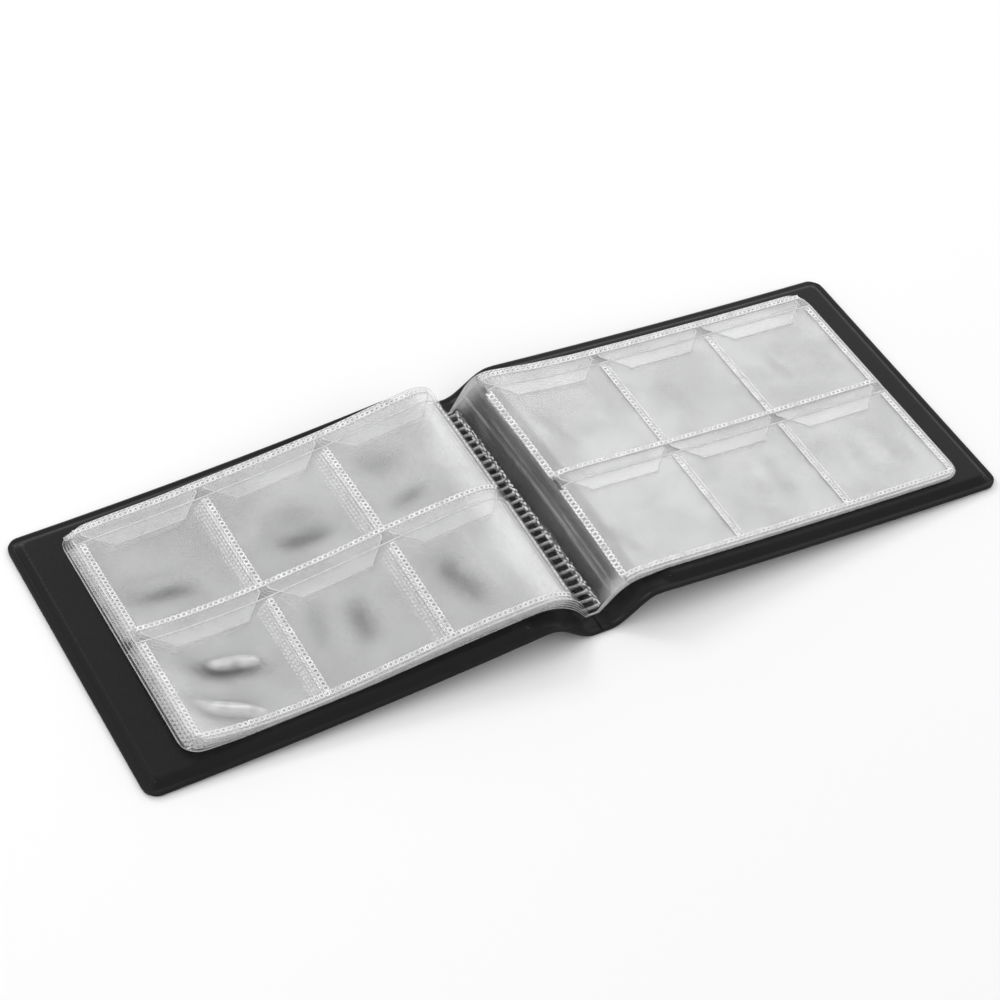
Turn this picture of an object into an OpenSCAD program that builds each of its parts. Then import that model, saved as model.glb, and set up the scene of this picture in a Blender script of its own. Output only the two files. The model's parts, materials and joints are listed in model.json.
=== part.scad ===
// Pocket coin album, lying open at its middle spread.
// A vinyl cover with a board in each half carries five clear double-page sheets, all welded to
// the spine, so that there are five leaves on each side. Every leaf has two rows of three coin
// pockets, and every pocket is closed by a tuck-in flap.
//
// X runs across the open album, Y along the spine and Z up. The origin is on the table, under the
// middle of the spine.

/* [Cover] */
// Length of the album along its spine
cover_h = 110; // [100:1:130]
// Length of each cover panel, from its hinge to its free edge
panel_len = 130; // [126:1:150]
// Corner radius of the cover
cover_r = 5; // [3:0.5:10]
// Thickness of each vinyl skin
skin_t = 0.5; // [0.3:0.05:0.8]
// Thickness of the stiffening boards
board_t = 1.5; // [1:0.1:2.5]
// Width of the flat weld margin around each panel
margin = 4; // [3:0.5:6]

/* [Spine] */
// Distance from the middle of the spine to each cover hinge
hinge_x = 21; // [19:0.5:26]
// Height of the cover hinges above the table
hinge_z = 9; // [8:0.1:12]
// Half width of the flat strip that rests on the table
flat_half = 2.5; // [2:0.25:4]
// Number of ribs in the ladder-shaped weld that holds the sheets
ribs = 29; // [15:1:35]

/* [Leaves] */
// Length of a leaf along the spine
page_h = 96.5; // [90:0.5:98]
// Width of one coin pocket
pocket_w = 41.4; // [38:0.1:41.6]
// Corner radius of the outer leaf corners
page_r = 6; // [3:0.5:9]
// Thickness of the base film of a leaf
base_t = 0.12; // [0.08:0.01:0.14]
// Thickness of the pocket fronts and flaps
film_t = 0.1; // [0.06:0.01:0.11]
// Distance from one left leaf to the next
left_pitch = 0.62; // [0.44:0.01:0.8]
// Distance from one right leaf to the next
right_pitch = 0.44; // [0.44:0.01:0.8]
// Distance from the spine's middle to the topmost left leaf's first column weld
left_ridge = 6.5; // [6:0.5:12]
// Distance from the spine's middle to the topmost right leaf's first column weld
right_ridge = 12.5; // [8:0.5:13]
// How much further out each lower left leaf lies
left_fan = 0.8; // [0:0.1:1]
// How much further out each lower right leaf lies
right_fan = 0.3; // [0:0.1:1]

/* [Pockets] */
// Width of the welded lines around the pockets
weld_w = 1.8; // [1.2:0.1:2.4]
// Film outside the outermost weld lines
rim = 1.2; // [0.6:0.1:2]
// Distance from a row's top weld to the mouth of its pockets
mouth = 5; // [4:0.5:8]
// Distance from a row's top weld to the free edge of its flaps
flap_h = 11; // [9:0.5:16]
// How far each side of a flap slopes in
flap_taper = 7.5; // [4:0.5:12]

/* [Hidden] */
$fn = 64;
LEAVES = 5;
COLUMNS = 3;
ROWS = 2;
SIDES = ["left", "right"];
LEFT = -1;
RIGHT = 1;
// running room between films of different bodies
film_gap = 0.02;
// room between a leaf and what lies under it
leaf_gap = 0.2;
// room between the films that meet on a ridge
ridge_gap = 0.3;
// how far the spine web stops short of the cover hinges, and the panels too
hinge_gap = 0.7;
// the web reaches its full height this far before the hinge
shoulder = 2;
// steps in each curved wall of the spine web
wall_steps = 12;
// corner radius of the boards
board_r = 1.5;
// thickness that a flap and its running room take between base film and pocket front
cavity = film_t + 2 * film_gap;
// a leaf's full thickness
leaf_t = base_t + cavity + film_t;
// height of the lowest leaf above the panel's weld plane
leaf_floor = board_t + skin_t + leaf_gap;
// height of the stacked welded films over the spine lining
weld_floor = 2 * skin_t;
// how much wider each lower sheet lies on the spine, and how far a sheet's inner corner is set in
floor_fan = 0.22;
floor_bend = 0.09;
rib_h = 0.5;
rib_w = 1.2;
// distance from the sheets' edge to the first rib, and from the flat strip's edge to a rib's end
rib_end = 1.5;
rib_inset = 1.2;
// distance between the upper and lower weld line of a leaf
weld_span = page_h - 2 * rim - weld_w;
row_h = weld_span / ROWS;
page_w = COLUMNS * pocket_w + weld_w / 2 + rim;
NOTHING = 0.01;

SIDE_NODES = ["base_film", "pocket_fronts", "upper_flaps", "lower_flaps"];

// Slope of a cover panel, whose free edge touches the table
slope = asin(hinge_z / sqrt(panel_len * panel_len + skin_t * skin_t)) - atan(skin_t / panel_len);
function fan(side) = side == LEFT ? left_fan : right_fan;
function pitch(side) = side == LEFT ? left_pitch : right_pitch;
function ridge_x(side) = side == LEFT ? left_ridge : right_ridge;

// Places a cover panel: inside it X runs out from the hinge line and Z away from the table
module on_panel(side) {
    if (side == RIGHT) translate([hinge_x, 0, hinge_z]) rotate([0, slope, 0]) children();
    else mirror([1, 0, 0]) translate([hinge_x, 0, hinge_z]) rotate([0, slope, 0]) children();
}

// Rectangle from x0 to x1, centred in Y, with its two outer corners rounded
module tab(x0, x1, h, r) {
    translate([x0, -h / 2]) square([x1 - x0 - r, h]);
    translate([x0, -h / 2 + r]) square([x1 - x0, h - 2 * r]);
    for (y = [-1, 1]) translate([x1 - r, y * (h / 2 - r)]) circle(r);
}

// ---- cover panels ----

module panel_outer_skin(side) {
    on_panel(side)
        translate([0, 0, -skin_t]) linear_extrude(skin_t)
            tab(hinge_gap, panel_len, cover_h, cover_r);
}

module panel_board(side) {
    on_panel(side)
        linear_extrude(board_t)
            tab(margin, panel_len - margin, cover_h - 2 * margin, board_r);
}

// The lining lies flat around the board and steps up over it
module panel_lining(side) {
    on_panel(side) difference() {
        union() {
            linear_extrude(skin_t) tab(hinge_gap, panel_len, cover_h, cover_r);
            linear_extrude(board_t + skin_t)
                tab(margin - skin_t, panel_len - margin + skin_t, cover_h - 2 * margin + 2 * skin_t,
                    board_r + skin_t);
        }
        translate([0, 0, -NOTHING]) linear_extrude(board_t + NOTHING)
            tab(margin, panel_len - margin, cover_h - 2 * margin, board_r);
    }
}

module front_outer_skin() { color("#26262a") panel_outer_skin(LEFT); }
module front_board() { color("#9a8f80") panel_board(LEFT); }
module front_lining() { color("#303034") panel_lining(LEFT); }
module back_outer_skin() { color("#26262a") panel_outer_skin(RIGHT); }
module back_board() { color("#9a8f80") panel_board(RIGHT); }
module back_lining() { color("#303034") panel_lining(RIGHT); }

// ---- spine web ----

web_end = hinge_x - hinge_gap;
wall_end = hinge_x - shoulder;
wall_run = wall_end - flat_half;

// Height of the web's lower surface at a distance x from the middle
function web_z(x) =
    let (t = min(1, max(0, (abs(x) - flat_half) / wall_run)))
    (hinge_z - skin_t) * (1 - cos(180 * t)) / 2;
function web_slope(x) =
    abs(x) <= flat_half || abs(x) >= wall_end ? 0
    : sign(x) * (hinge_z - skin_t) * PI / 2 / wall_run * sin(180 * (abs(x) - flat_half) / wall_run);

half_x = concat([for (i = [0 : wall_steps]) flat_half + wall_run * i / wall_steps], [web_end]);
web_x = concat([for (i = [len(half_x) - 1 : -1 : 0]) -half_x[i]], half_x);

// A point of the web, a distance d above its lower surface
function web_point(x, d) =
    let (s = web_slope(x), n = sqrt(1 + s * s))
    [x - s / n * d, web_z(x) + d / n];

// The layer of the web between the distances d0 and d1 above its lower surface
module web_layer(d0, d1) {
    low = [for (x = web_x) web_point(x, d0)];
    high = [for (i = [len(web_x) - 1 : -1 : 0]) web_point(web_x[i], d1)];
    translate([0, cover_h / 2, 0]) rotate([90, 0, 0]) linear_extrude(cover_h)
        polygon(concat(low, high));
}

module spine_outer_skin() { color("#26262a") web_layer(0, skin_t); }
module spine_lining() { color("#303034") web_layer(skin_t, 2 * skin_t); }

// ---- leaves ----

// The lower surface of leaf k above the panel's weld plane. Leaf 1 is the topmost.
function leaf_w(side, k) = leaf_floor + (LEAVES - k) * pitch(side);
// Distance from the hinge line to leaf k's first column weld, measured along the panel
function leaf_u(side, k) = ridge_x(side) - hinge_x + (k - 1) * fan(side);

// Places leaf k: X runs out from its first column weld, Z up from its lower surface
module on_leaf(side, k) {
    on_panel(side) translate([leaf_u(side, k), 0, leaf_w(side, k)]) children();
}

// One double-page sheet's base film as far as it lies on a leaf, with the weld along the far edge
module base_film(side, k) {
    color("#d8dce0", 0.5) on_leaf(side, k) {
        linear_extrude(base_t) tab(ridge_gap, page_w, page_h, page_r);
        linear_extrude(leaf_t) intersection() {
            tab(ridge_gap, page_w, page_h, page_r);
            translate([0, page_h / 2 - rim - weld_w]) square([page_w, rim + weld_w]);
        }
    }
}

// Top weld line of row r, where row 0 is the far one
function row_top(r) = weld_span / 2 - r * row_h;

// One row's front film. It is welded at both sides, between the columns and along its lower edge.
module pocket_front(r) {
    top = row_top(r) - mouth;
    bottom = row_top(r + 1) - weld_w / 2 - (r == ROWS - 1 ? rim : 0);
    intersection() {
        tab_solid(page_w, page_h, page_r, base_t, leaf_t);
        union() {
            translate([ridge_gap, bottom, base_t + cavity])
                cube([page_w - ridge_gap, top - bottom, film_t]);
            translate([ridge_gap, bottom, base_t])
                cube([page_w - ridge_gap, row_top(r + 1) + weld_w / 2 - bottom, leaf_t - base_t]);
            for (c = [0 : COLUMNS]) {
                x0 = c == 0 ? ridge_gap : c * pocket_w - weld_w / 2;
                x1 = c == COLUMNS ? page_w : c * pocket_w + weld_w / 2;
                translate([x0, bottom, base_t]) cube([x1 - x0, top - bottom, leaf_t - base_t]);
            }
        }
    }
}

// A leaf's outline between two heights
module tab_solid(w, h, r, z0, z1) {
    translate([0, 0, z0]) linear_extrude(z1 - z0) tab(ridge_gap, w, h, r);
}

module pocket_fronts(side, k) {
    color("#e4e8ec", 0.5) on_leaf(side, k)
        for (r = [0 : ROWS - 1]) pocket_front(r);
}

// Three flaps on one strip that hangs from the top weld of row r and tucks in behind the fronts
module flap_strip(r) {
    top = row_top(r) - weld_w / 2 - film_gap;
    edge = row_top(r) - flap_h;
    side_room = weld_w / 2 + 4 * film_gap;
    translate([0, 0, base_t + film_gap]) linear_extrude(film_t) union() {
        translate([side_room, top - weld_w])
            square([COLUMNS * pocket_w - 2 * side_room, weld_w]);
        for (c = [0 : COLUMNS - 1]) {
            x0 = c * pocket_w + side_room;
            x1 = (c + 1) * pocket_w - side_room;
            polygon([[x0, top - weld_w], [x0 + flap_taper, edge], [x1 - flap_taper, edge],
                     [x1, top - weld_w]]);
        }
    }
}

module flaps(side, k, r) {
    color("#f0f2f5", 0.5) on_leaf(side, k) flap_strip(r);
}

// ---- sheets at the spine ----

// Where leaf k's first column weld lies, as [x, z] in the row's frame, for one side
function ridge(side, k) =
    let (u = leaf_u(side, k), w = leaf_w(side, k))
    [side * (hinge_x + u * cos(slope) + w * sin(slope)), hinge_z - u * sin(slope) + w * cos(slope)];

// The stretch of sheet k between its two leaves, which dips into the spine and is welded there
module gutter_film(k) {
    floor_z = weld_floor + (LEAVES - k) * base_t;
    floor_x = flat_half - 1 + (k - 1) * floor_fan;
    l = ridge(LEFT, k);
    r = ridge(RIGHT, k);
    dl = wall_normal([-floor_x, floor_z], l);
    dr = wall_normal([floor_x, floor_z], r);
    color("#c8ccd0", 0.5)
        translate([0, page_h / 2, 0]) rotate([90, 0, 0]) linear_extrude(page_h)
            polygon([
                l, [-floor_x, floor_z], [floor_x, floor_z], r,
                r - dr, [floor_x - floor_bend, floor_z + base_t], [floor_bend - floor_x, floor_z + base_t],
                l + dl
            ]);
}

// A film's thickness across the wall that runs from a to b
function wall_normal(a, b) =
    let (d = b - a, n = norm(d))
    [d[1], -d[0]] / n * base_t;

// The ladder-shaped weld that presses all five sheets on to the spine lining
module spine_weld() {
    top = weld_floor + LEAVES * base_t;
    step = (page_h - 2 * rib_end - rib_w) / (ribs - 1);
    color("#b0b4b8", 0.6)
        for (i = [0 : ribs - 1])
            translate([rib_inset - flat_half, -page_h / 2 + rib_end + i * step, top])
                cube([2 * (flat_half - rib_inset), rib_w, rib_h]);
}

// ---- choosing what to draw ----

spine_outer_skin();
spine_lining();
spine_weld();
front_outer_skin();
front_board();
front_lining();
back_outer_skin();
back_board();
back_lining();
for (k = [1 : LEAVES]) {
    gutter_film(k);
    for (side = [LEFT, RIGHT]) {
        name = side == LEFT ? "left_" : "right_";
        base_film(side, k);
        pocket_fronts(side, k);
        flaps(side, k, 0);
        flaps(side, k, 1);
    }
}
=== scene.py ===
"""A pocket coin album, lying open at its middle spread.

Lengths are in millimetres until a mesh is made. Each half of the album has a panel frame: U runs out
from the cover hinge, Y along the spine and W up from the panel's weld plane. A sheet is followed by the
distance S along it: S is 0 at its first column weld, positive on the leaf and negative in the gutter.
"""
import json
import math

import bpy
import numpy as np
from mathutils import Matrix, Vector


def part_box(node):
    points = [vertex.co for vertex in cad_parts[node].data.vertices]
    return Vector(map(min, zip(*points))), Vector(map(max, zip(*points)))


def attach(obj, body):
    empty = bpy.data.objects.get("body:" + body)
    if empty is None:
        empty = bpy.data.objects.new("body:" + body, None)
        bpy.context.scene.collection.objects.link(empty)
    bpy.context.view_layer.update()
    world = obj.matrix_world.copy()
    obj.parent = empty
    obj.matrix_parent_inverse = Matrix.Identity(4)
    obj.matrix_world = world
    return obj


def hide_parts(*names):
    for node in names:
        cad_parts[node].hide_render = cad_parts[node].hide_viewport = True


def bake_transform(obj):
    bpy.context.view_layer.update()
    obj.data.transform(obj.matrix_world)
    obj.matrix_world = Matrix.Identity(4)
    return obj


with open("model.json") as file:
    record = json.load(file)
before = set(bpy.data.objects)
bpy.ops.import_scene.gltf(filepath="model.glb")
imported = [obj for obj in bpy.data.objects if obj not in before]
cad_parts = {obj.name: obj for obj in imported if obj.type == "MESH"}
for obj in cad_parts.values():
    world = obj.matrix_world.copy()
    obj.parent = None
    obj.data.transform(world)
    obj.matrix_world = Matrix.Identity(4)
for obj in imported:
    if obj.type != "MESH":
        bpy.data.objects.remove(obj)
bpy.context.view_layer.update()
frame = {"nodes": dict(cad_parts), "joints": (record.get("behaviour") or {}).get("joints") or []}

# ---------------------------------------------------------------- values read from the frame

MM = 0.001
LEFT, RIGHT = -1, 1
SIDES = {LEFT: "left", RIGHT: "right"}
COVERS = {LEFT: "front", RIGHT: "back"}
joints = {j["name"]: j for j in frame["joints"]}


def joint_at(name):
    """A joint's place in mm."""
    return np.array(joints[name]["pos_m"]) / MM


def high_corner(node):
    """A CAD node's highest corner in mm."""
    return np.array(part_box(node)[1]) / MM


# the album's own sizes, as the CAD has them
SKIN = 0.5
BOARD = 1.5
MARGIN = 4.0
COVER_R = 5.0
FLAT_HALF = 2.5
SHOULDER = 2.0
FILM = 0.1
BASE_FILM = 0.12
EDGE_TO_WELD = 2.1
WELD_W = 1.8
MOUTH = 5.0
FLAP_H = 11.0
FLAP_TAPER = 7.5
PAGE_R = 6.0
COLUMNS, ROWS = 3, 2
# how far out the topmost sheet leaves the spine's flat strip, and how much wider each lower one lies
FIRST_FOOT = FLAT_HALF - 1
FOOT_FAN = 0.22
# top of a leaf's welds above the middle of its base film
WELD_RISE = 0.3

HINGE_X, _, HINGE_Z = joint_at("back_cover_hinge")
SLOPE = math.asin(abs(joints["left_upper_flaps_1_open"]["axis"][2]))
COS, SIN = math.cos(SLOPE), math.sin(SLOPE)
LEAVES = sum(n.startswith("left_base_film_") for n in frame["nodes"])
COVER_H = 2 * high_corner("front_outer_skin")[1]
PANEL = (high_corner("back_outer_skin")[0] - HINGE_X) / COS
PAGE_H = 2 * high_corner("left_base_film_1")[1]


def to_panel(side, point):
    """Panel coordinates (U, W) of a point."""
    x = side * point[0] - HINGE_X
    z = point[2] - HINGE_Z
    return np.array([x * COS - z * SIN, x * SIN + z * COS])


def leaf_origin(side, k):
    """(U, W) of leaf k's first column weld, in the middle of its base film."""
    if k < LEAVES:
        return to_panel(side, joint_at(f"{SIDES[side]}_leaf_{k}_turn"))
    return 2 * leaf_origin(side, k - 1) - leaf_origin(side, k - 2)


ORIGIN = {(side, k): leaf_origin(side, k) for side in SIDES for k in range(1, LEAVES + 1)}
right_edge = high_corner("right_base_film_1")[0] - HINGE_X
PAGE_W = (right_edge - (ORIGIN[RIGHT, 1][1] + WELD_RISE) * SIN) / COS - ORIGIN[RIGHT, 1][0]
POCKET_W = (PAGE_W - EDGE_TO_WELD) / COLUMNS
TOP_WELD = PAGE_H / 2 - EDGE_TO_WELD
ROW_H = 2 * TOP_WELD / ROWS

# ---------------------------------------------------------------- how the album lies

# how far each panel and its leaves sag below a straight line, in mm
BOW = {LEFT: 1.4, RIGHT: 0.8}
# how far each side of the fold a sheet curves over its ridge
FOLD_REACH = {LEFT: 9.0, RIGHT: 7.0}
# height of the topmost leaf above its flat place, at the far, middle and near end of each column weld
LEAF_LIFT = {
    LEFT: ((5.0, 1.5, 0.0, -1.0), (3.0, 3.0, 0.0, 1.5), (-1.0, 1.5, -1.0, 3.0)),
    RIGHT: ((2.5, -1.0, -1.0, -1.0), (-0.5, -1.0, -1.0, -1.0), (-1.0, -1.0, -1.0, -1.0)),
}
# how far each fold lies from its straight place, at the far, middle and near end
FOLD_SHIFT = {LEFT: (0.0, 0.0, 0.0), RIGHT: (-3.5, -1.0, -2.0)}
# how close the leaves can be pressed together over the board
PRESSED_FLOOR = 2.15
PRESSED_PITCH = 0.3
# how much less each lower leaf is lifted, as a share
LIFT_LOSS = 0.15
# height of a leaf's own waves, and of the waves that the whole pile shares
OWN_WAVE, PILE_WAVE = 0.16, 0.12
# distance over which the waves grow from the fold, and the pressing from the hinge
WAVE_START = 20
BOARD_START = 6


def smooth(t):
    """0 below 0 and 1 above 1, with a soft step between them."""
    t = np.clip(t, 0, 1)
    return t * t * (3 - 2 * t)


def along_spine(far, middle, near, b):
    """The curve through three values, where b runs from 1 (far) to -1 (near)."""
    return far * (b * (b + 1) / 2) + middle * (1 - b * b) + near * (b * (b - 1) / 2)


def lattice(values, a, b):
    """A smooth height over a leaf: a counts the column welds, b runs from 1 (far) to -1 (near)."""
    far, middle, near = values
    total = 0.0
    for c in range(COLUMNS + 1):
        a_weight = 1.0
        for other in range(COLUMNS + 1):
            if other != c:
                a_weight = a_weight * (a - other) / (c - other)
        total = total + a_weight * along_spine(far[c], middle[c], near[c], b)
    return total


def ripple(seed, s, y, reach=26.0):
    """Gentle waves of a soft film, about 1 high."""
    rng = np.random.default_rng(seed + 100)
    total = 0.0
    for _ in range(6):
        angle = rng.uniform(0, math.pi)
        wave = reach * rng.uniform(0.6, 1.6)
        phase = rng.uniform(0, 2 * math.pi)
        total = total + np.sin((s * math.cos(angle) + y * math.sin(angle)) * 2 * math.pi / wave + phase)
    return total / 4


def leaf_height(side, k, s, y):
    """W of leaf k's base film."""
    a = np.clip(s, 0, PAGE_W) / POCKET_W
    b = y / TOP_WELD
    lift = lattice(LEAF_LIFT[side], a, b)
    share = np.where(lift > 0, 1 - LIFT_LOSS * (k - 1), 1.0)
    wave = OWN_WAVE * ripple(11 * k + side, s, y) + PILE_WAVE * ripple(side, s, y)
    height = ORIGIN[side, k][1] + lift * share + wave * np.clip(s / WAVE_START, 0, 1)
    floor = PRESSED_FLOOR + (LEAVES - k) * PRESSED_PITCH
    over_board = np.clip((ORIGIN[side, k][0] + s) / BOARD_START, 0, 1)
    pressed = np.maximum(height, floor + 0.05 * wave)
    return height * (1 - over_board) + pressed * over_board


def foot(side, k):
    """(U, W) of the place where sheet k leaves the flat strip of the spine."""
    x = FIRST_FOOT + (k - 1) * FOOT_FAN
    z = 2 * SKIN + (LEAVES - k) * BASE_FILM + FILM / 2
    return to_panel(side, [side * x, 0, z])


def fold_shift(side, s, y):
    """How far a sheet's point is shifted outward, by where its fold lies."""
    return along_spine(*FOLD_SHIFT[side], y / TOP_WELD) * (1 - smooth(s / POCKET_W))


def sheet_uw(side, k, s, y):
    """Panel coordinates of a point of sheet k."""
    s, y = np.broadcast_arrays(np.asarray(s, float), np.asarray(y, float))
    origin = ORIGIN[side, k]
    shift = fold_shift(side, 0 * s, y)
    ridge = np.stack([origin[0] + shift, leaf_height(side, k, 0 * s, y)], -1)
    wall = foot(side, k) - ridge
    wall /= np.linalg.norm(wall, axis=-1, keepdims=True)
    reach = FOLD_REACH[side]
    leaf = np.stack([origin[0] + s + fold_shift(side, s, y), leaf_height(side, k, s, y)], -1)
    down = ridge + wall * np.maximum(-s, 0)[..., None]
    start = ridge + wall * reach
    end_shift = fold_shift(side, 0 * s + reach, y)
    end = np.stack([origin[0] + reach + end_shift, leaf_height(side, k, 0 * s + reach, y)], -1)
    t = np.clip((s + reach) / (2 * reach), 0, 1)[..., None]
    bend = (1 - t) ** 2 * start + 2 * t * (1 - t) * ridge + t * t * end
    flat = np.where((s > 0)[..., None], leaf, down)
    return np.where((np.abs(s) < reach)[..., None], bend, flat)


def from_panel(side, u, y, w):
    """The point in the album's frame of panel coordinates (u, y, w), with the panel's bow."""
    t = np.clip(u / PANEL, 0, 1)
    w = w - 4 * BOW[side] * t * (1 - t)
    u, y, w = np.broadcast_arrays(u, y, w)
    x = side * (HINGE_X + u * COS + w * SIN)
    return np.stack([x, y, HINGE_Z - u * SIN + w * COS], -1)


def sheet_point(side, k, s, y):
    """The point of sheet k at distance s along it and y along the spine."""
    uw = sheet_uw(side, k, s, y)
    return from_panel(side, uw[..., 0], np.broadcast_to(y, uw.shape[:-1]), uw[..., 1])


def unit(v):
    """Vectors of length 1."""
    return v / np.maximum(np.linalg.norm(v, axis=-1, keepdims=True), 1e-9)


def surface(side, k, s, y, height=0.0):
    """A point at a height above sheet k, measured square to it."""
    s, y, height = np.broadcast_arrays(*(np.asarray(value, float) for value in (s, y, height)))
    step = 0.3
    along = sheet_point(side, k, s + step, y) - sheet_point(side, k, s - step, y)
    across = sheet_point(side, k, s, y + step) - sheet_point(side, k, s, y - step)
    normal = unit(np.cross(along, across)) * side
    return sheet_point(side, k, s, y) + normal * height[..., None]


# ---------------------------------------------------------------- meshes

def grid_quads(n, m):
    """Quads of a grid of n by m points, whose points are numbered row by row."""
    i, j = np.meshgrid(np.arange(n - 1), np.arange(m - 1), indexing="ij")
    a = (i * m + j).ravel()
    return np.stack([a, a + m, a + m + 1, a + 1], -1)


def shell(points, thickness, side, fields=None, edge=None):
    """A closed thin solid around a grid of points.

    Returns points, quads, material numbers, one value per point of each field, and which quads are
    shaded smooth. The cells marked as edge, and then the rim too, take the second material."""
    n, m = points.shape[:2]
    along = np.gradient(points, axis=0)
    across = np.gradient(points, axis=1)
    normal = unit(np.cross(along, across)) * side
    half = np.broadcast_to(np.asarray(thickness, float), (n, m))[..., None] / 2
    top = (points + normal * half).reshape(-1, 3)
    bottom = (points - normal * half).reshape(-1, 3)
    quads = grid_quads(n, m)
    count = n * m
    index = np.arange(count).reshape(n, m)
    loop = np.concatenate([index[:, 0], index[-1, 1:], index[-2::-1, -1], index[0, -2:0:-1]])
    ahead = np.roll(loop, -1)
    rim = np.stack([loop, ahead, ahead + count, loop + count], -1)
    if side > 0:
        faces = np.concatenate([quads, quads[:, ::-1] + count, rim[:, ::-1]])
    else:
        faces = np.concatenate([quads[:, ::-1], quads + count, rim])
    ids = np.zeros((n - 1, m - 1), int)
    if edge is not None:
        ids[edge[: n - 1, : m - 1]] = 1
    ids = ids.ravel()
    rim_id = 0 if edge is None else 1
    ids = np.concatenate([ids, ids, np.full(len(rim), rim_id)])
    values = {name: np.tile(np.broadcast_to(field, (n, m)).ravel(), 2)
              for name, field in (fields or {}).items()}
    is_smooth = np.arange(len(faces)) < 2 * len(quads)
    return np.concatenate([top, bottom]), faces, ids, values, is_smooth


def piece(name, parts, materials, nodes, clear=True):
    """One object made of closed parts. Each part's material numbers count from its own first one.

    Clear film casts no shadow."""
    verts, quads, ids, smooth_flags, fields = [], [], [], [], {}
    offset = 0
    names = {f for part in parts for f in part[0][3]}
    for (points, faces, numbers, values, is_smooth), first in parts:
        verts.append(points)
        quads.append(faces + offset)
        ids.append(numbers + first)
        smooth_flags.append(is_smooth)
        for field in names:
            fields.setdefault(field, []).append(values.get(field, np.zeros(len(points))))
        offset += len(points)
    verts, quads, ids = np.concatenate(verts), np.concatenate(quads), np.concatenate(ids)
    mesh = bpy.data.meshes.new(name)
    mesh.vertices.add(len(verts))
    mesh.vertices.foreach_set("co", (verts * MM).ravel())
    mesh.loops.add(4 * len(quads))
    mesh.loops.foreach_set("vertex_index", quads.ravel())
    mesh.polygons.add(len(quads))
    mesh.polygons.foreach_set("loop_start", np.arange(len(quads)) * 4)
    mesh.polygons.foreach_set("loop_total", np.full(len(quads), 4))
    mesh.polygons.foreach_set("material_index", ids)
    mesh.polygons.foreach_set("use_smooth", np.concatenate(smooth_flags))
    mesh.update(calc_edges=True)
    for field, chunks in fields.items():
        layer = mesh.attributes.new(field, "FLOAT", "POINT")
        layer.data.foreach_set("value", np.concatenate(chunks).astype(np.float32))
    for material in materials:
        mesh.materials.append(material)
    made = bpy.data.objects.new(name, mesh)
    bpy.context.scene.collection.objects.link(made)
    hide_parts(*nodes)
    made.visible_shadow = not clear
    return made


def stops(*marks, step):
    """Values through all the marks, about a step apart."""
    found = [np.array([marks[0]], float)]
    for a, b in zip(marks, marks[1:]):
        count = max(1, round(abs(b - a) / step))
        found.append(np.linspace(a, b, count + 1)[1:])
    return np.concatenate(found)


# ---------------------------------------------------------------- materials

def new_material(name):
    """A material with its node tree and its shader."""
    material = bpy.data.materials.new(name)
    material.use_nodes = True
    shader = material.node_tree.nodes["Principled BSDF"]
    return material, material.node_tree, shader


def node(tree, kind, **settings):
    """A new node with some of its sockets or properties set."""
    made = tree.nodes.new(kind)
    for key, value in settings.items():
        if key in made.inputs:
            made.inputs[key].default_value = value
        else:
            setattr(made, key, value)
    return made


def maths(tree, operation, a, b=0.0, clamp=False):
    """The output of a new Math node. Each input is a number or another node's output."""
    made = tree.nodes.new("ShaderNodeMath")
    made.operation = operation
    made.use_clamp = clamp
    for socket, value in zip(made.inputs, (a, b)):
        if isinstance(value, (int, float)):
            socket.default_value = value
        else:
            tree.links.new(value, socket)
    return made.outputs[0]


def noise(tree, scale, detail, stretch=(1, 1, 1)):
    """Noise over the object's own coordinates, stretched along its axes."""
    place = tree.nodes.new("ShaderNodeTexCoord")
    mapping = tree.nodes.new("ShaderNodeMapping")
    mapping.inputs["Scale"].default_value = stretch
    tree.links.new(place.outputs["Object"], mapping.inputs["Vector"])
    made = node(tree, "ShaderNodeTexNoise", Scale=scale, Detail=detail)
    tree.links.new(mapping.outputs[0], made.inputs["Vector"])
    return made.outputs["Fac"]


def spread(tree, value, low, high, new_low, new_high):
    """Maps a value's range softly to a new one."""
    made = tree.nodes.new("ShaderNodeMapRange")
    made.interpolation_type = "SMOOTHSTEP"
    tree.links.new(value, made.inputs["Value"])
    ends = {"From Min": low, "From Max": high, "To Min": new_low, "To Max": new_high}
    for name, number in ends.items():
        made.inputs[name].default_value = number
    return made.outputs["Result"]


def bump(tree, shader, height, strength, distance):
    """Fine relief on a shader's surface."""
    made = node(tree, "ShaderNodeBump", Strength=strength, Distance=distance)
    tree.links.new(height, made.inputs["Height"])
    tree.links.new(made.outputs["Normal"], shader.inputs["Normal"])


def grey_ramp(tree, value, dark, light):
    """A colour between dark and light."""
    made = tree.nodes.new("ShaderNodeValToRGB")
    made.color_ramp.elements[0].color = (*dark, 1)
    made.color_ramp.elements[1].color = (*light, 1)
    tree.links.new(value, made.inputs["Fac"])
    return made.outputs["Color"]


def attribute(tree, name):
    """The value that a mesh stores for each point under a name, 0 where it stores none."""
    return node(tree, "ShaderNodeAttribute", attribute_name=name).outputs["Fac"]


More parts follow.
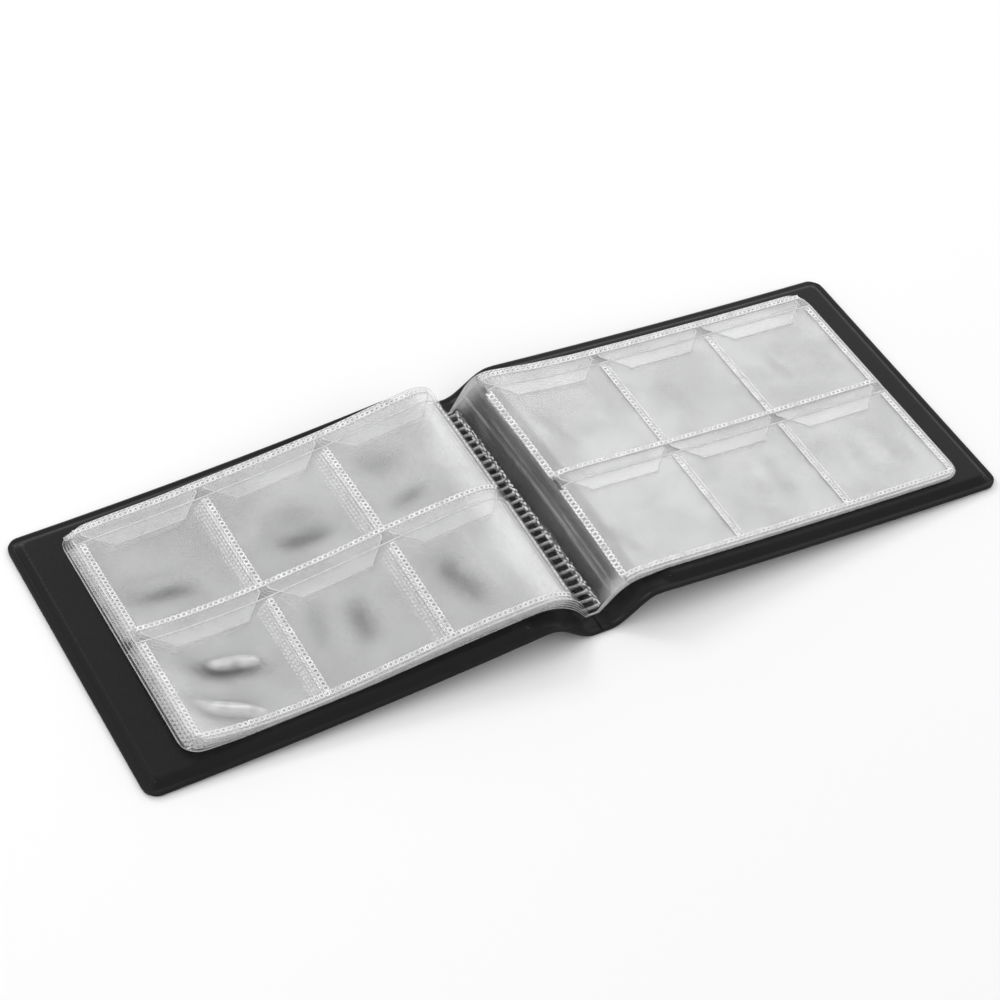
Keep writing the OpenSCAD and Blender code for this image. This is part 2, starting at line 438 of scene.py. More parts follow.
def film_material(name, alpha, tint=0.92, mirror=0.5):
    """Clear soft film. It is clearer, so darker, where painted shade marks it and where it clings to the
    spine, denser and whiter where painted highlights mark it, and whiter at a glancing angle.
    """
    material, tree, shader = new_material(name)
    shader.inputs["IOR"].default_value = 1.5
    shader.inputs["Metallic"].default_value = mirror
    cloud = noise(tree, 60, 2)
    color = grey_ramp(tree, cloud, (tint - 0.06,) * 3, (tint + 0.03, tint + 0.035, tint + 0.04))
    tree.links.new(color, shader.inputs["Base Color"])
    tree.links.new(spread(tree, cloud, 0.3, 0.7, 0.1, 0.2), shader.inputs["Roughness"])
    # painted shade: the film is made clearer where the attribute read here marks it; in the gutter's
    # valley it marks where the sheets cling to the spine
    unclung_unshaded = maths(tree, "ADD", maths(tree, "MULTIPLY", attribute(tree, "cling"), -0.98), 1.0)
    body = maths(tree, "MULTIPLY", spread(tree, cloud, 0.3, 0.7, alpha * 0.85, alpha * 1.15), unclung_unshaded)
    facing = node(tree, "ShaderNodeLayerWeight", Blend=0.35).outputs["Facing"]
    glance = maths(tree, "MULTIPLY", maths(tree, "MULTIPLY", facing, facing), 0.5 * alpha + 0.1)
    total = maths(tree, "ADD", body, maths(tree, "MULTIPLY", glance, unclung_unshaded))
    # painted highlights: the attribute read here makes the film denser and whiter
    total = maths(tree, "ADD", total, attribute(tree, "crease"), clamp=True)
    tree.links.new(total, shader.inputs["Alpha"])
    return material


def weld_material(name, low, high, color=0.93):
    """Embossed film: white and dense on the ridges of the pattern, clear in its hollows. The whiteness is
    partly the film's own and partly painted glints.
    """
    material, tree, shader = new_material(name)
    shader.inputs["IOR"].default_value = 1.5
    shader.inputs["Specular IOR Level"].default_value = 0.8
    shader.inputs["Roughness"].default_value = 0.22
    emboss = attribute(tree, "emboss")
    tone = grey_ramp(tree, emboss, (color - 0.3,) * 3, (color,) * 3)
    tree.links.new(tone, shader.inputs["Base Color"])
    worn = spread(tree, noise(tree, 380, 2), 0.25, 0.75, 0.75, 1.15)
    dense = spread(tree, emboss, 0.05, 0.8, low, high)
    tree.links.new(maths(tree, "MULTIPLY", dense, worn, clamp=True), shader.inputs["Alpha"])
    return material


def vinyl_material(name, dark, light, roughness):
    """Black vinyl with a fine calendered grain and soft scuffs."""
    material, tree, shader = new_material(name)
    shader.inputs["IOR"].default_value = 1.52
    shader.inputs["Specular IOR Level"].default_value = 0.14
    mottle = noise(tree, 35, 5)
    tree.links.new(grey_ramp(tree, mottle, dark, light), shader.inputs["Base Color"])
    scuffs = spread(tree, noise(tree, 90, 4, (1, 3, 1)), 0.35, 0.75, roughness - 0.02, roughness + 0.04)
    tree.links.new(scuffs, shader.inputs["Roughness"])
    place = tree.nodes.new("ShaderNodeTexCoord")
    pores = node(tree, "ShaderNodeTexVoronoi", Scale=1400.0)
    tree.links.new(place.outputs["Object"], pores.inputs["Vector"])
    deep_pores = maths(tree, "MULTIPLY", pores.outputs["Distance"], 0.7)
    grain = maths(tree, "ADD", deep_pores, noise(tree, 900, 3))
    bump(tree, shader, grain, 0.22, 0.0002)
    return material


def board_material(name):
    """Grey board with a fibrous face."""
    material, tree, shader = new_material(name)
    shader.inputs["Roughness"].default_value = 0.9
    fibres = noise(tree, 700, 5, (1, 0.25, 1))
    color = grey_ramp(tree, fibres, (0.36, 0.33, 0.29), (0.55, 0.51, 0.45))
    tree.links.new(color, shader.inputs["Base Color"])
    bump(tree, shader, fibres, 0.4, 0.0003)
    return material


# how dense each leaf's film is, from the topmost leaf down
FILM_ALPHA = {1: 0.072, 2: 0.056, 3: 0.050, 4: 0.044, 5: 0.040}
# least and greatest density and lightness of the sheets' edges
TOP_EDGE = (0.9, 0.95, 0.98)
LOWER_EDGE = (0.4, 0.45, 0.96)

films, flap_films, welds, edges = {}, {}, {}, {}
for k in range(1, LEAVES + 1):
    films[k] = film_material(f"leaf_film_{k}", FILM_ALPHA[k])
    flap_films[k] = film_material(f"flap_film_{k}", FILM_ALPHA[k] * 1.25, 0.97, 0.3)
    welds[k] = weld_material(f"weld_{k}", 0.04, 0.92 - 0.05 * k)
    edges[k] = weld_material(f"film_edge_{k}", *(TOP_EDGE if k == 1 else LOWER_EDGE))
# the gutter film's tint, darker than the leaf film's, is painted shade for the deep gutter
gutter_film = film_material("gutter_film", 0.014, 0.8, 0.7)
gutter_edge = weld_material("gutter_edge", 0.6, 0.7, 0.95)
ladder_weld = weld_material("ladder_weld", 0.08, 1.0, 0.97)
outer_vinyl = vinyl_material("outer_vinyl", (0.005, 0.005, 0.005), (0.009, 0.009, 0.009), 0.40)
lining_vinyl = vinyl_material("lining_vinyl", (0.006, 0.006, 0.006), (0.011, 0.011, 0.011), 0.36)
grey_board = board_material("grey_board")

# ---------------------------------------------------------------- cover

# place, half width and depth of the pressed line round the cover, in each of its skins
GROOVE_PLACE, GROOVE_HALF = 1.9, 0.55
OUTER_GROOVE, LINING_GROOVE = 0.10, 0.12
# how far the outer skin stands out over the board
BOARD_STEP = 0.22
# radius of the board's corners
BOARD_R = 2.0
# how far each side of its hinge the cover bends
HINGE_REACH = 2.5


def web_height(x):
    """Height of the spine web's weld plane."""
    run = HINGE_X - SHOULDER - FLAT_HALF
    t = np.clip((np.abs(x) - FLAT_HALF) / run, 0, 1)
    return SKIN + (HINGE_Z - SKIN) * (1 - np.cos(math.pi * t)) / 2


def corner_limit(distance_to_edge, half, radius):
    """Half width of a rounded outline at a distance from its outer edge."""
    d = np.clip(distance_to_edge, 0, radius)
    return half - (radius - np.sqrt(np.maximum(radius ** 2 - (radius - d) ** 2, 0)))


def cover_grid():
    """Grid over half a cover: its distance from the spine's middle, and its Y."""
    web_end = HINGE_X + 3
    margin = MARGIN + 3
    board_start = HINGE_X + margin + 2
    web = np.linspace(0, web_end, 35)
    panel = stops(web_end, board_start, step=0.5)[1:]
    middle = stops(board_start, HINGE_X + PANEL - margin, step=3.0)[1:]
    edge = HINGE_X + PANEL - margin * (1 - np.linspace(0, 1, 22)[1:] ** 0.8)
    run = np.concatenate([web, panel, middle, edge])
    margin_share = 1 - margin / (COVER_H / 2)
    coarse = stops(0, margin_share, step=0.06)
    fine = stops(margin_share, 1, step=0.009)[1:]
    rows = np.concatenate([coarse, fine])
    rows = np.concatenate([-rows[::-1], rows[1:]])
    half = corner_limit(HINGE_X + PANEL - run, COVER_H / 2, COVER_R)
    return run[:, None] + 0 * rows[None], half[:, None] * rows[None]


def cover_point(side, run, y, height):
    """A point at a height above the cover's weld plane, a distance run from the spine's middle."""
    panel_part = from_panel(side, run - HINGE_X, y, height)
    x = np.minimum(run, HINGE_X)
    step = 0.05
    rise = (web_height(x + step) - web_height(x - step)) / (2 * step)
    length = np.sqrt(1 + rise ** 2)
    web_part = np.stack([side * (x - rise / length * height), y, web_height(x) + height / length], -1)
    share = smooth((run - HINGE_X + 2) / 4)[..., None]
    return web_part * (1 - share) + panel_part * share


def inside_board(run, y):
    """Distance inside the edge of the board, negative outside it."""
    centre = HINGE_X + PANEL / 2
    half_run = PANEL / 2 - MARGIN - BOARD_R
    half_y = COVER_H / 2 - MARGIN - BOARD_R
    qx = np.abs(run - centre) - half_run
    qy = np.abs(y) - half_y
    outside = np.hypot(np.maximum(qx, 0), np.maximum(qy, 0)) + np.minimum(np.maximum(qx, qy), 0)
    return BOARD_R - outside


def edge_distance(run, y):
    """Distance to the nearest outer edge of the cover."""
    return np.minimum(HINGE_X + PANEL - run, COVER_H / 2 - np.abs(y))


def weld_groove(run, y):
    """The pressed line that runs round the cover, inside its edge, as a share of its depth."""
    return np.exp(-((edge_distance(run, y) - GROOVE_PLACE) / GROOVE_HALF) ** 2)


def cover_half(side):
    """Outer skin, lining and board of one half. Each skin runs on to the middle of the spine."""
    name = COVERS[side]
    run, y = cover_grid()
    groove = weld_groove(run, y)
    inset = inside_board(run, y)
    soft_edge = smooth((edge_distance(run, y) + 0.15) / 0.45)
    thickness = SKIN * (0.35 + 0.65 * soft_edge) * (1 - 0.25 * groove)
    board_step = BOARD_STEP * smooth(inset / 2 + 0.5) * (run > HINGE_X)
    outer = cover_point(side, run, y, -SKIN / 2 + OUTER_GROOVE * groove - board_step)
    rise = BOARD * smooth(inset / 3 + 0.8)
    lining = cover_point(side, run, y, SKIN / 2 - LINING_GROOVE * groove + rise)
    outer_shell = shell(outer, thickness, side)
    nodes = [f"{name}_outer_skin"] + (["spine_outer_skin"] if side == LEFT else [])
    skin = piece(f"{name}_cover_skin", [(outer_shell, 0)], [outer_vinyl], nodes,
                 clear=False)
    lining_shell = shell(lining, thickness, side)
    nodes = [f"{name}_lining"] + (["spine_lining"] if side == LEFT else [])
    inner = piece(f"{name}_cover_lining", [(lining_shell, 0)], [lining_vinyl], nodes,
                  clear=False)
    start = from_panel(side, -HINGE_REACH, 0, 0) * MM
    end = from_panel(side, HINGE_REACH, 0, 0) * MM
    for made in (skin, inner):
        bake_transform(made)
    board_run, board_y = np.meshgrid(
        stops(HINGE_X + MARGIN, HINGE_X + PANEL - MARGIN, step=3),
        stops(-COVER_H / 2 + MARGIN, COVER_H / 2 - MARGIN, step=4), indexing="ij")
    slab = shell(cover_point(side, board_run, board_y, BOARD / 2), BOARD - 0.1, side)
    board = piece(f"{name}_cover_board", [(slab, 0)], [grey_board], [f"{name}_board"],
                  clear=False)
    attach(board, f"{name}_cover")


# ---------------------------------------------------------------- welds

# distance from one pressed loop to the next, and width of a wide, a broad and a narrow line of them
CHAIN_PITCH = 1.75
WIDE_WELD = 2.8
BROAD_WELD = 2.1
THIN_WELD = 0.8
# height of a weld line above its sheet, and of its loops
WELD_LIFT = 0.3
LOOP_RISE = 0.10
WELD_FILM = 0.05


def chain(s, v):
    """Height of a chain of small pressed loops, s counted in loops and v from -1 to 1 across."""
    local = (s - np.floor(s) - 0.5) / 0.46
    radius = (np.abs(local) ** 3 + np.abs(v / 0.9) ** 3) ** (1 / 3)
    return np.exp(-((radius - 0.82) / 0.24) ** 2)


def weld_line(side, k, s0, y0, s1, y1, seed, width=BROAD_WELD):
    """A welded line along a leaf, from (s0, y0) to (s1, y1). The topmost leaf's are the finest."""
    steps_per_loop, steps_across = (6, 7) if k == 1 else (4, 5)
    length = math.hypot(s1 - s0, y1 - y0)
    n = max(2, round(length / CHAIN_PITCH * steps_per_loop))
    t = np.linspace(0, 1, n + 1)[:, None]
    v = np.linspace(-1, 1, steps_across)[None]
    rng = np.random.default_rng(seed)
    loops = length / CHAIN_PITCH * t + rng.uniform()
    slow_wave = np.sin(loops * 0.37 + rng.uniform(0, 6))
    quick_wave = np.sin(loops * 1.3 + rng.uniform(0, 6))
    uneven = 1 + 0.3 * slow_wave * quick_wave
    # the loops' whiteness is partly the film's own and partly painted glints
    emboss = chain(loops, v) * np.clip(uneven, 0.4, 1.2)
    dir_s, dir_y = (s1 - s0) / length, (y1 - y0) / length
    s = s0 + (s1 - s0) * t - dir_y * v * width / 2
    y = y0 + (y1 - y0) * t + dir_s * v * width / 2
    points = surface(side, k, s, y, WELD_LIFT + LOOP_RISE * emboss)
    return shell(points, WELD_FILM, side, {"emboss": emboss})


# ---------------------------------------------------------------- leaves

# where along it a sheet bends when its leaf is turned, from its first column weld
BEND_START, BEND_END = -1, 9
# second row of loops along the far edge: how far out, how much shorter and how wide
RIM_PLACE, RIM_SHORT, RIM_WELD = 1.3, 3, 0.7
# how far the thin line of loops lies beside each column weld
THIN_PLACE = 1.5
# height of a flap and of a pocket front over the base film, and how much further a front puffs up
FLAP_GAP = 0.11
FRONT_GAP = 0.12
TOP_PUFF, LOWER_PUFF = 0.35, 0.08
# room beside a flap, and length of the straight stretches above and below its sloping sides
FLAP_ROOM = 0.3
FLAP_STRAIGHT, FLAP_END = 1.5, 0.5


def leaf_run(step):
    """Distances from the first column weld to the edge, closer together round the outer corners."""
    corner_start = COLUMNS * POCKET_W - 4.5
    straight = stops(0, POCKET_W, 2 * POCKET_W, corner_start, step=step)
    corner = PAGE_W - (PAGE_W - corner_start) * (1 - np.linspace(0, 1, 12)[1:] ** 0.6)
    corner[-1] = PAGE_W
    return np.concatenate([straight, corner])


def page_half(s):
    """Half of a leaf's length along the spine, at a distance from its first column weld."""
    return corner_limit(PAGE_W - s, PAGE_H / 2, PAGE_R)


def edge_band(shape, first=False, last=False, low=False, high=False):
    """Which cells of a grid lie in the narrow band along its chosen sides.

    The shape counts the grid's points, and each cell is marked at its first point."""
    band = np.zeros(shape, bool)
    band[:1] |= first
    band[-2:] |= last
    band[:, :1] |= low
    band[:, -2:] |= high
    return band


def rows_between(step_share, edge_share):
    """Shares from 0 to 1 with a narrow first and last step."""
    return np.concatenate([[0], stops(edge_share, 1 - edge_share, step=step_share), [1]])


# painted highlight: how much whiter the film is painted where it bends over its fold
FOLD_HIGHLIGHT = {LEFT: 0.09, RIGHT: 0.0}
# how far out on the leaf the painted highlight reaches, how far a weaker share of it reaches, and that
# share
NEAR_HIGHLIGHT, FAR_HIGHLIGHT = 9, 75
FAR_HIGHLIGHT_SHARE = 0.45
# how much stronger the painted highlight is at the near end, as a share
NEAR_END_HIGHLIGHT = 0.6


def base_film(side, k):
    """A sheet's base film on one leaf, with the weld along its far edge."""
    s = leaf_run(1.6)[:, None]
    t = rows_between(0.018, 0.003)[None]
    y = page_half(s) * (2 * t - 1)
    points = surface(side, k, s, y)
    band = edge_band(points.shape[:2], last=True, low=True, high=True)
    # painted shade on the base film under the pockets
    cling = 0.0
    for row in range(ROWS):
        in_row = (y <= row_top(row)) & (y > row_top(row + 1))
        cling = cling + pocket_painted_shade(side, row, s, y) * in_row
    # painted highlight where the film bends over its fold, weaker under painted shade
    fade = np.exp(-(s / NEAR_HIGHLIGHT) ** 2) + FAR_HIGHLIGHT_SHARE * np.exp(-(s / FAR_HIGHLIGHT) ** 2)
    painted_fold_highlight = FOLD_HIGHLIGHT[side] * fade * (1 + NEAR_END_HIGHLIGHT * smooth(-y / TOP_WELD)) * (1 - 0.9 * cling)
    sheet = shell(points, FILM, side, {"cling": cling, "crease": painted_fold_highlight}, band)
    leaf_end = COLUMNS * POCKET_W
    top = weld_line(side, k, 0.5, TOP_WELD, leaf_end + 0.5, TOP_WELD, 7 * k + side)
    rim_y = TOP_WELD + RIM_PLACE
    rim = weld_line(side, k, 0.5, rim_y, leaf_end - RIM_SHORT, rim_y, 70 * k + side, RIM_WELD)
    name = f"{SIDES[side]}_base_film_{k}"
    made = piece(f"{name}_sheet", [(sheet, 0), (top, 2), (rim, 2)],
                 [films[k], edges[k], welds[k]], [name])
    join_leaf(made, side, k)


def join_leaf(made, side, k):
    """Bakes a sheet's placement into its mesh. The places where it would bend are worked out but not
    used.
    """
    u, w = ORIGIN[side, k]
    start = from_panel(side, u + BEND_START, 0, w) * MM
    end = from_panel(side, u + BEND_END, 0, w) * MM
    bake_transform(made)


def row_top(row):
    """Place of the weld above a row, where row 0 is the far one."""
    return TOP_WELD - row * ROW_H


# wrinkles of the topmost pocket fronts: column, row, centre and half length and width in pocket halves,
# height in mm and turn in degrees
WRINKLES = {
    LEFT: [
        (2, 1, 0.0, -0.05, 0.45, 0.15, 1.6, 27), (2, 1, 0.35, -0.75, 0.60, 0.12, 2.2, 38),
        (2, 1, 0.2, -0.4, 0.6, 0.15, 0.6, 25), (1, 1, 0.0, -0.35, 0.6, 0.25, 0.5, 15),
        (2, 0, 0.0, -0.45, 0.6, 0.2, 0.45, 5), (0, 1, 0.2, -0.2, 0.55, 0.3, 0.6, -15),
        (1, 0, 0.1, -0.3, 0.5, 0.3, 0.5, 10), (0, 0, 0.1, -0.4, 0.5, 0.3, 0.5, -5),
    ],
    RIGHT: [
        (0, 0, 0.1, -0.1, 0.4, 0.3, 0.35, 30), (1, 0, -0.1, 0.0, 0.5, 0.35, 0.3, -20),
        (0, 1, 0.2, -0.2, 0.5, 0.3, 0.35, 20), (2, 1, 0.0, -0.3, 0.5, 0.3, 0.3, -10),
        (1, 1, 0.0, 0.0, 0.5, 0.4, 0.3, 10), (2, 0, 0.0, 0.1, 0.5, 0.3, 0.3, 15),
    ],
}
# painted shade on the pockets, where the pocket film is made clearer and so darker: column, row, centre,
# half sizes, strength, turn
PAINTED_SHADES = {
    LEFT: [
        (2, 0, 0.3, -0.55, 0.60, 0.13, 1.0, 20), (2, 0, 0.4, -0.2, 0.4, 0.10, 0.35, 20),
        (1, 0, -0.05, -0.6, 0.50, 0.13, 1.0, 20), (1, 0, 0.0, -0.25, 0.55, 0.35, 0.4, 30),
        (0, 0, 0.5, 0.15, 0.35, 0.18, 0.6, 40), (0, 0, 0.35, -0.65, 0.35, 0.13, 1.0, 10),
        (2, 1, 0.05, -0.05, 0.60, 0.18, 1.0, 27), (2, 1, 0.35, -0.65, 0.75, 0.20, 1.0, 38),
        (1, 1, -0.05, -0.2, 0.45, 0.18, 0.8, 95), (1, 1, 0.55, 0.05, 0.45, 0.15, 0.6, 100),
        (0, 1, 0.35, -0.35, 0.50, 0.16, 1.0, 75), (0, 1, 0.5, 0.2, 0.3, 0.2, 0.4, 60),
    ],
    RIGHT: [
        (0, 0, -0.5, -0.1, 0.10, 0.6, 0.30, 20), (0, 0, 0.2, -0.4, 0.5, 0.2, 0.12, 10),
        (1, 0, -0.3, -0.1, 0.15, 0.6, 0.18, 10), (0, 1, -0.7, -0.4, 0.12, 0.5, 0.45, 20),
        (0, 1, 0.3, -0.5, 0.3, 0.3, 0.15, 20), (1, 1, 0.3, -0.2, 0.15, 0.6, 0.25, 0),
        (2, 0, -0.3, -0.3, 0.12, 0.4, 0.35, 10), (2, 0, 0.2, -0.5, 0.4, 0.15, 0.2, 5),
        (2, 1, -0.2, -0.2, 0.15, 0.6, 0.25, -10), (2, 1, 0.5, -0.4, 0.2, 0.3, 0.3, 20),
    ],
}


def marks(entries, row, s, y):
    """The sum of soft oval marks on the pockets of one row."""
    total = 0.0 * s * y
    for column, mark_row, ca, cb, la, lb, strength, turn in entries:
        if mark_row != row:
            continue
        a = (s - (column + 0.5) * POCKET_W) / (POCKET_W / 2) - ca
        b = (y - (row_top(row) - ROW_H / 2)) / (ROW_H / 2) - cb
        angle = math.radians(turn)
        along = (a * math.cos(angle) + b * math.sin(angle)) / la
        across = (b * math.cos(angle) - a * math.sin(angle) + 0.06 * np.sin(5 * a)) / lb
        total = total + strength * np.exp(-along ** 4 - across ** 2)
    return total


def pocket_shape(s, y, row):
    """1 in the middle of each pocket of a row, 0 on its welds."""
    a = (s / POCKET_W) % 1
    a = np.sin(math.pi * np.clip(a, 0, 1)) * ((s > 0) & (s < COLUMNS * POCKET_W))
    b = (row_top(row) - y) / ROW_H
    return np.clip(a, 0, 1) ** 0.5 * np.clip(np.sin(math.pi * np.clip(b, 0, 1)), 0, 1) ** 0.5


def pocket_painted_shade(side, row, s, y):
    """How much painted shade darkens the film of each pocket of a row, from 0 to 1."""
    return pocket_shape(s, y, row) * np.clip(marks(PAINTED_SHADES[side], row, s, y), 0, 1)


def pocket_row(side, k, row):
    """The front film of a row of pockets. Only the topmost leaf's has wrinkles, with painted highlights
    along their crests.
    """
    step = 0.9 if k == 1 else 1.6
    s = leaf_run(step)[:, None]
    t = rows_between(step / 42, 0.011)[None]
    mouth = row_top(row) - MOUTH
    last = row == ROWS - 1
    bottom = -page_half(s) if last else row_top(row + 1) - WELD_W / 2 + 0 * s
    y = bottom + (mouth - bottom) * t
    inside = pocket_shape(s, y, row)
    # painted shade on the pocket front
    fields = {"cling": pocket_painted_shade(side, row, s, y)}
    if k == 1:
        wrinkles = marks(WRINKLES[side], row, s, y)
        waves = 0.10 * (1 + ripple(row + 5, s, y, 14))
        puff = FRONT_GAP + TOP_PUFF * inside + inside * (wrinkles + waves)
        # painted highlight along the crests of the wrinkles
        crease = 0.9 * inside * np.clip(wrinkles - 0.9, 0, 1) * (0.7 + 0.3 * ripple(3, s, y, 5))
        fields["crease"] = np.clip(crease, 0, 1)
    else:
        puff = FRONT_GAP + LOWER_PUFF * inside
    points = surface(side, k, s, y, puff)
    band = edge_band(points.shape[:2], last=True, low=last, high=True)
    return shell(points, FILM, side, fields, band)


def pocket_fronts(side, k):
    """Both rows of pocket fronts of a leaf, with the welds at their sides and below them."""
    parts = []
    for row in range(ROWS):
        top = row_top(row) - MOUTH - 1
        bottom = row_top(row + 1)
        parts.append((pocket_row(side, k, row), 0))
        lines = [weld_line(side, k, 0.5, bottom, COLUMNS * POCKET_W, bottom, 31 * k + row)]
        for c in range(COLUMNS + 1):
            s = c * POCKET_W
            width = WIDE_WELD if side == RIGHT and c == 0 else BROAD_WELD
            lines.append(weld_line(side, k, s, bottom, s, top, 50 * k + 9 * row + c, width))
            if 0 < c < COLUMNS:
                s = s + THIN_PLACE
                seed = 90 * k + 9 * row + c
                lines.append(weld_line(side, k, s, bottom + 1, s, top - 1.5, seed, THIN_WELD))
        parts += [(line, 2) for line in lines]
    name = f"{SIDES[side]}_pocket_fronts_{k}"
    made = piece(f"{name}_sheet", parts, [films[k], edges[k], welds[k]], [name])
    join_leaf(made, side, k)


def flap_strip(side, k, row):
    """The three tuck-in flaps of one row. Their sides slope in below a short straight stretch."""
    top = row_top(row) - WELD_W / 2
    length = FLAP_H - 1
    t = rows_between(0.1, 0.04)[None]
    a = rows_between(0.05, 0.016)[:, None]
    slope_length = length - FLAP_STRAIGHT - FLAP_END
    inset = FLAP_TAPER * np.clip((t * length - FLAP_STRAIGHT) / slope_length, 0, 1)
    margin = WELD_W / 2 + FLAP_ROOM + inset
    parts = []
    for c in range(COLUMNS):
        start = c * POCKET_W + margin
        end = (c + 1) * POCKET_W - margin
        points = surface(side, k, start + (end - start) * a, top - length * t, FLAP_GAP)
        band = edge_band(points.shape[:2], first=True, last=True, high=True)
        parts.append((shell(points, FILM * 0.6, -side, edge=band), 0))
    name = f"{SIDES[side]}_{('upper', 'lower')[row]}_flaps_{k}"
    made = piece(f"{name}_strip", parts, [flap_films[k], edges[k]], [name])
    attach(made, name)


# ---------------------------------------------------------------- gutter

RIBS = 29
# distance from the ends of the ladder to its first and last rib
RIB_END = 0.7
# how far the ladder's rails lie from its middle
RAIL_PLACE = 3.2
LADDER_FILM = 0.12
# painted highlights along the gutter, as glints and light streaks: share of the way from the left leaf to
# the right, half width as a share, place and half length along Y in mm, strength
GUTTER_HIGHLIGHTS = (
    (0.05, 0.06, 0, 200, 0.10),
    (0.60, 0.012, 28, 9, 0.22),
    (0.61, 0.014, -18, 7, 0.30),
    (0.60, 0.010, -37, 6, 0.25),
    (0.79, 0.006, 0, 60, 0.16),
    (0.85, 0.004, -10, 40, 0.10),
    (0.95, 0.020, 0, 200, 0.04),
)
# how much of a painted highlight shows on the third sheet and below
DEEP_HIGHLIGHT = 0.3
# half width of the valley where the sheets cling to the spine
VALLEY = 4.5
# strength and reach of the painted highlight at both ends of the gutter
END_HIGHLIGHT, END_REACH = 0.12, 3.5


def gutter_wall(side, k, y):
    """The stretch of sheet k from its leaf down to its foot on the spine."""
    s = 0 * y
    fold = np.stack([ORIGIN[side, k][0] + fold_shift(side, s, y), leaf_height(side, k, s, y)], -1)
    length = np.linalg.norm(foot(side, k) - fold, axis=-1)
    share = np.linspace(0, 1, 22)[:, None]
    return surface(side, k, -share * length, y)


def gutter_highlight_strength(k, rows, y):
    """How strongly the painted highlights show on sheet k."""
    sway = 0.010 * np.sin(y / 19 + k) + 0.002 * np.sin(y / 6.1 + 2 * k)
    depth = 1.0 if k < 3 else DEEP_HIGHLIGHT
    total = 0.0
    for place, width, middle_y, reach, strength in GUTTER_HIGHLIGHTS:
        fade = np.exp(-((y - middle_y) / reach) ** 4) * depth
        total = total + strength * fade * np.exp(-((rows - place - sway) / width) ** 2)
    return total


def gutter_sheet(k):
    """The stretch of sheet k between its two leaves."""
    y = (PAGE_H / 2 * np.concatenate([[-1], np.linspace(-0.992, 0.992, 46), [1]]))[None]
    left = gutter_wall(LEFT, k, y)
    right = gutter_wall(RIGHT, k, y)[::-1]
    middle = np.stack([left[-1] * (1 - t) + right[0] * t for t in (0.2, 0.5, 0.8)])
    points = np.concatenate([left, middle, right])
    band = edge_band(points.shape[:2], low=True, high=True)
    rows = np.linspace(0, 1, points.shape[0])[:, None]
    valley = np.exp(-(points[..., 0] / VALLEY) ** 4)
    ends = END_HIGHLIGHT * np.exp(-((PAGE_H / 2 - np.abs(y)) / END_REACH) ** 2)
    # painted highlights along the gutter and at its ends, none in the valley
    painted_gutter_highlight = (gutter_highlight_strength(k, rows, y) + ends) * (1 - valley)
    sheet = shell(points, FILM, RIGHT, {"cling": valley, "crease": painted_gutter_highlight}, band)
    name = f"gutter_film_{k}"
    made = piece(f"{name}_sheet", [(sheet, 0)], [gutter_film, gutter_edge], [name])
    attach(made, "spine")


def ladder_rib(rng, y, floor, tall):
    """A short rounded rib across the spine, a little askew."""
    a = np.linspace(-1, 1, 9)[:, None]
    v = np.linspace(-1, 1, 7)[None]
    crown = (1 - v ** 2) * tall * rng.uniform(0.7, 1.0)
    tilt = rng.uniform(-0.25, 0.25)
    points = np.stack([RAIL_PLACE * a + 0 * v, y + 0.75 * v + tilt * a, floor + crown + 0.4 * a ** 2], -1)
    emboss = (1 - v ** 2) * (0.27 + 0.12 * a)
    return shell(points, LADDER_FILM, RIGHT, {"emboss": emboss})


def ladder_rail(rail, y0, y1, floor):
    """The rough edge of the weld along one side. The right one is painted whiter, as painted glints."""
    y = np.linspace(y0, y1, 300)[:, None]
    v = np.linspace(-1, 1, 7)[None]
    rough = 0.5 * ripple(3 + rail, y, 7 * v, 3.1) + 0.5 * ripple(8 + rail, y, 3 * v, 1.4)
    x = rail * (RAIL_PLACE + 0.75 * v + 0.2 * rough)
    z = floor + 0.5 + 0.4 * (1 - v ** 2) + 0.5 * v + 0.5 * rough
    points = np.stack([x, y + 0 * v, z], -1)
    # painted glints: the right rail is painted whiter than the left
    sparkle = 1.0 if rail == RIGHT else 0.25
    emboss = sparkle * np.clip(0.2 + 1.8 * rough, 0, 1) * (1 - 0.6 * v ** 2)
    return shell(points, LADDER_FILM, -rail, {"emboss": emboss})


def ladder():
    """The ladder-shaped weld: ribs across the spine between two uneven rails, with painted glints on
    them.
    """
    low, high = (np.array(c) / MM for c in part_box("spine_weld"))
    rng = np.random.default_rng(4)
    parts = []
    for y in np.linspace(low[1] + RIB_END, high[1] - RIB_END, RIBS):
        parts.append((ladder_rib(rng, y, low[2], high[2] - low[2]), 0))
    for rail in SIDES:
        parts.append((ladder_rail(rail, low[1], high[1], low[2]), 0))
    made = piece("spine_weld_ladder", parts, [ladder_weld], ["spine_weld"])
    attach(made, "spine")


# ---------------------------------------------------------------- the album

for side in SIDES:
    cover_half(side)
    for k in range(LEAVES, 0, -1):
        base_film(side, k)
        pocket_fronts(side, k)
        for row in range(ROWS):
            flap_strip(side, k, row)
for k in range(1, LEAVES + 1):
    gutter_sheet(k)
ladder()

# ---------------------------------------------------------------- studio


def studio_floor():
    """A plain pale floor, just below the table's height so that it doesn't meet the cover."""
    material, _, shader = new_material("studio_floor")
    shader.inputs["Base Color"].default_value = (0.92, 0.92, 0.92, 1)
    shader.inputs["Roughness"].default_value = 0.7
    bpy.ops.mesh.primitive_plane_add(size=8, location=(0, 0, -0.0003))
    floor = bpy.context.object
    floor.name = "studio_floor"
    floor.data.materials.append(material)


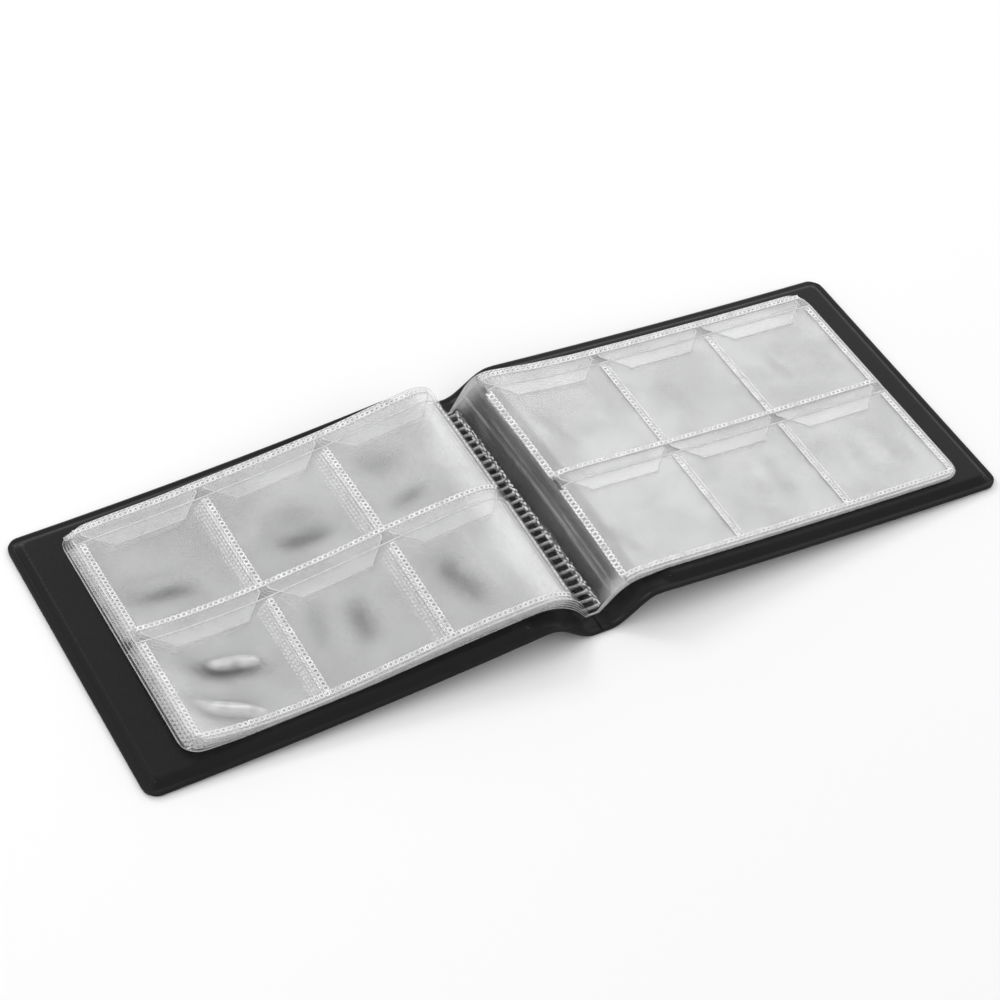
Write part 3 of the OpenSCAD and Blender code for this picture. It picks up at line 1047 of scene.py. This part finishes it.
def softbox(name, place, size, watts):
    """A soft square light, turned towards the album."""
    light = bpy.data.lights.new(name, "AREA")
    light.shape = "RECTANGLE"
    light.size = size
    light.size_y = size
    light.energy = watts
    made = bpy.data.objects.new(name, light)
    bpy.context.scene.collection.objects.link(made)
    made.location = place
    made.rotation_euler = (Vector((0, 0, 0)) - Vector(place)).to_track_quat("-Z", "Y").to_euler()


def studio_light():
    """A nearly white surrounding and three softboxes, which make the gloss on film and vinyl."""
    world = bpy.data.worlds.new("studio")
    bpy.context.scene.world = world
    world.use_nodes = True
    world.node_tree.nodes["Background"].inputs["Color"].default_value = (1, 1, 1, 1)
    world.node_tree.nodes["Background"].inputs["Strength"].default_value = 0.88
    softbox("right_softbox", (0.85, 0.65, 0.74), 0.9, 1.5)
    softbox("back_softbox", (-0.25, 1.0, 0.66), 0.35, 3.2)
    softbox("left_softbox", (-0.9, 0.2, 0.8), 0.5, 1.0)


def studio_camera():
    """The camera looks down on the album from the front left and is rolled a little."""
    azimuth, elevation, roll = (math.radians(a) for a in (33.35, 45.7, 6.25))
    distance, target = 0.86718, Vector((-0.00235, 0.0065, 0.0013))
    level = Vector((math.sin(azimuth), math.cos(azimuth), 0))
    ahead = level * math.cos(elevation) - Vector((0, 0, math.sin(elevation)))
    level_right = ahead.cross(Vector((0, 0, 1))).normalized()
    level_up = level_right.cross(ahead)
    right = level_right * math.cos(roll) + level_up * math.sin(roll)
    up = level_up * math.cos(roll) - level_right * math.sin(roll)
    data = bpy.data.cameras.new("camera")
    data.lens = 98.16
    data.sensor_width = 36
    data.clip_start = 0.05
    camera = bpy.data.objects.new("camera", data)
    bpy.context.scene.collection.objects.link(camera)
    turn = Matrix((right, up, -ahead)).transposed().to_4x4()
    camera.matrix_world = Matrix.Translation(target - ahead * distance) @ turn
    bpy.context.scene.camera = camera


for name in ("Cube", "Light", "Camera"):
    if name in bpy.data.objects:
        bpy.data.objects.remove(bpy.data.objects[name])
studio_floor()
studio_light()
studio_camera()
bpy.context.scene.view_settings.view_transform = "Standard"
# each line of sight crosses up to five leaves of thin solids, and each solid has two faces
bpy.context.scene.cycles.transparent_max_bounces = 96
bpy.context.scene.cycles.max_bounces = 3
